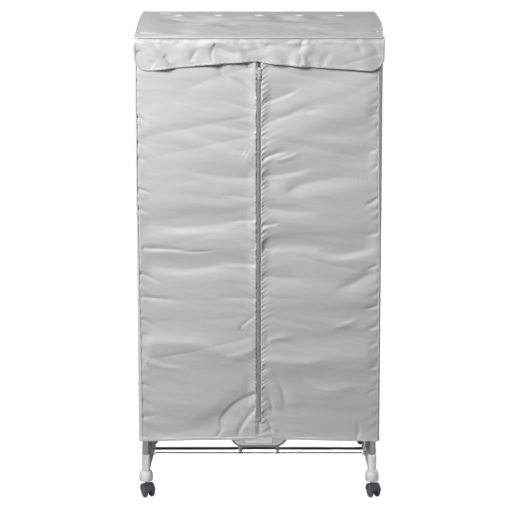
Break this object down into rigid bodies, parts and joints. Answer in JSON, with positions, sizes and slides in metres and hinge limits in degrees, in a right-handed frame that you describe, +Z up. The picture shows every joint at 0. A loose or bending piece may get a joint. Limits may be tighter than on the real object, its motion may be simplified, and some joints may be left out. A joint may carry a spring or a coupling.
{
  "type": "drying cabinet",
  "caption": "Portable clothes drying cabinet: zipped silver-grey cloth cover over a chrome tube frame with hanging rails, fan heater on two base rods, plastic arches and twin-wheel casters.",
  "frame": {"origin": "on the floor under the middle of the cabinet", "axes": "+Z up, the zipped front faces -Y, +X to the right seen from the front"},
  "size_m": [0.7082, 0.5028, 1.349],
  "materials": {
    "coated_cloth": "silver-grey coated polyester with a slight sheen",
    "seam_binding": "the same cloth folded into binding and piping",
    "zip_tape": "grey woven tape with nylon coil",
    "chrome_tube": "bright chrome",
    "grey_plastic": "light grey, satin",
    "dark_plastic": "dark grey, satin",
    "black_plastic": "black, fine texture",
    "caster_plastic": "black, moulded",
    "wheel_tread": "black nylon, slightly glossy",
    "bright_steel": "nickel plated",
    "element_fins": "bare fins"
  },
  "bodies": {
    "root": {"base_arch_left": "grey_plastic", "base_arch_right": "grey_plastic", "base_rod_front": "chrome_tube", "base_rod_rear": "chrome_tube", "lower_upright_fl": "chrome_tube", "lower_upright_fr": "chrome_tube", "lower_upright_rl": "chrome_tube", "lower_upright_rr": "chrome_tube", "upright_couplers": "grey_plastic", "upper_upright_fl": "chrome_tube", "upper_upright_fr": "chrome_tube", "upper_upright_rl": "chrome_tube", "upper_upright_rr": "chrome_tube", "corner_elbow_fl": "grey_plastic", "corner_elbow_fr": "grey_plastic", "corner_elbow_rl": "grey_plastic", "corner_elbow_rr": "grey_plastic", "top_rail_left": "chrome_tube", "top_rail_right": "chrome_tube", "top_rail_front": "chrome_tube", "top_rail_rear": "chrome_tube", "hanging_rail_front": "chrome_tube", "hanging_rail_rear": "chrome_tube", "rail_saddles": "grey_plastic", "caster_stems": "bright_steel", "heater_tub": "dark_plastic", "heater_lid": "grey_plastic", "control_panel": "grey_plastic", "timer_switch": "black_plastic", "fan_motor": "bright_steel", "heating_element": "element_fins", "rod_clips": "dark_plastic", "cord_gland": "black_plastic", "cover_roof": "coated_cloth", "cover_back": "coated_cloth", "cover_side_left": "coated_cloth", "cover_side_right": "coated_cloth", "cover_header": "coated_cloth", "cover_sill": "coated_cloth", "cover_piping": "seam_binding", "roof_eyelets": "bright_steel", "zip_bottom_stop": "zip_tape"},
    "front_flap": {"front_flap": "coated_cloth", "flap_binding": "seam_binding"},
    "door_left": {"door_left": "coated_cloth", "zip_tape_left": "zip_tape"},
    "door_right": {"door_right": "coated_cloth", "zip_tape_right": "zip_tape"},
    "zip_slider": {"zip_slider": "bright_steel"},
    "zip_pull": {"zip_pull": "bright_steel"},
    "timer_knob": {"timer_knob": "black_plastic"},
    "fan_impeller": {"fan_impeller": "black_plastic"},
    "caster_fl": {"caster_housing_fl": "caster_plastic"},
    "wheels_fl": {"caster_wheels_fl": "wheel_tread"},
    "caster_fr": {"caster_housing_fr": "caster_plastic"},
    "wheels_fr": {"caster_wheels_fr": "wheel_tread"},
    "caster_rl": {"caster_housing_rl": "caster_plastic"},
    "wheels_rl": {"caster_wheels_rl": "wheel_tread"},
    "caster_rr": {"caster_housing_rr": "caster_plastic"},
    "wheels_rr": {"caster_wheels_rr": "wheel_tread"}
  },
  "joints": [
    {"name": "flap_hinge", "type": "hinge", "parent": "root", "child": "front_flap", "pos_m": [0, -0.24, 1.3465], "axis": [-1, 0, 0], "range_deg": [0, 170]},
    {"name": "door_left_hinge", "type": "hinge", "parent": "root", "child": "door_left", "pos_m": [-0.34133, -0.2375, 0.7], "axis": [-0.0051, 0, -1], "range_deg": [0, 100], "deforming": ["zip_tape_left"]},
    {"name": "door_right_hinge", "type": "hinge", "parent": "root", "child": "door_right", "pos_m": [0.34133, -0.2375, 0.7], "axis": [-0.0051, 0, 1], "range_deg": [0, 100], "deforming": ["zip_tape_right"]},
    {"name": "zip_slide", "type": "slide", "parent": "root", "child": "zip_slider", "axis": [0, 0, -1], "range_m": [0, 0.99]},
    {"name": "zip_pull_hinge", "type": "hinge", "parent": "zip_slider", "child": "zip_pull", "pos_m": [0, -0.2448, 1.258], "axis": [-1, 0, 0], "range_deg": [0, 120]},
    {"name": "timer_turn", "type": "hinge", "parent": "root", "child": "timer_knob", "pos_m": [0.014, -0.134, 0.174], "axis": [0, 1, 0], "range_deg": [0, 300]},
    {"name": "fan_spin", "type": "hinge", "parent": "root", "child": "fan_impeller", "pos_m": [0, 0, 0.1795], "axis": [0, 0, 1], "continuous": true},
    {"name": "swivel_fl", "type": "hinge", "parent": "root", "child": "caster_fl", "pos_m": [-0.328, -0.214, 0.02], "axis": [0, 0, 1], "continuous": true},
    {"name": "roll_fl", "type": "hinge", "parent": "caster_fl", "child": "wheels_fl", "pos_m": [-0.32293, -0.22488, 0.02], "axis": [0.9063, 0.4226, 0], "continuous": true},
    {"name": "swivel_fr", "type": "hinge", "parent": "root", "child": "caster_fr", "pos_m": [0.328, -0.214, 0.02], "axis": [0, 0, 1], "continuous": true},
    {"name": "roll_fr", "type": "hinge", "parent": "caster_fr", "child": "wheels_fr", "pos_m": [0.3321, -0.22528, 0.02], "axis": [0.9397, 0.342, 0], "continuous": true},
    {"name": "swivel_rl", "type": "hinge", "parent": "root", "child": "caster_rl", "pos_m": [-0.328, 0.214, 0.02], "axis": [0, 0, 1], "continuous": true},
    {"name": "roll_rl", "type": "hinge", "parent": "caster_rl", "child": "wheels_rl", "pos_m": [-0.3321, 0.22528, 0.02], "axis": [-0.9397, -0.342, 0], "continuous": true},
    {"name": "swivel_rr", "type": "hinge", "parent": "root", "child": "caster_rr", "pos_m": [0.328, 0.214, 0.02], "axis": [0, 0, 1], "continuous": true},
    {"name": "roll_rr", "type": "hinge", "parent": "caster_rr", "child": "wheels_rr", "pos_m": [0.32293, 0.22488, 0.02], "axis": [-0.9063, -0.4226, 0], "continuous": true}
  ],
  "couplings": [
    {"joint": "door_right_hinge", "follows": "door_left_hinge", "ratio": 1},
    {"joint": "zip_slide", "follows": "door_left_hinge", "m_per_rad": 0.56722}
  ]
}
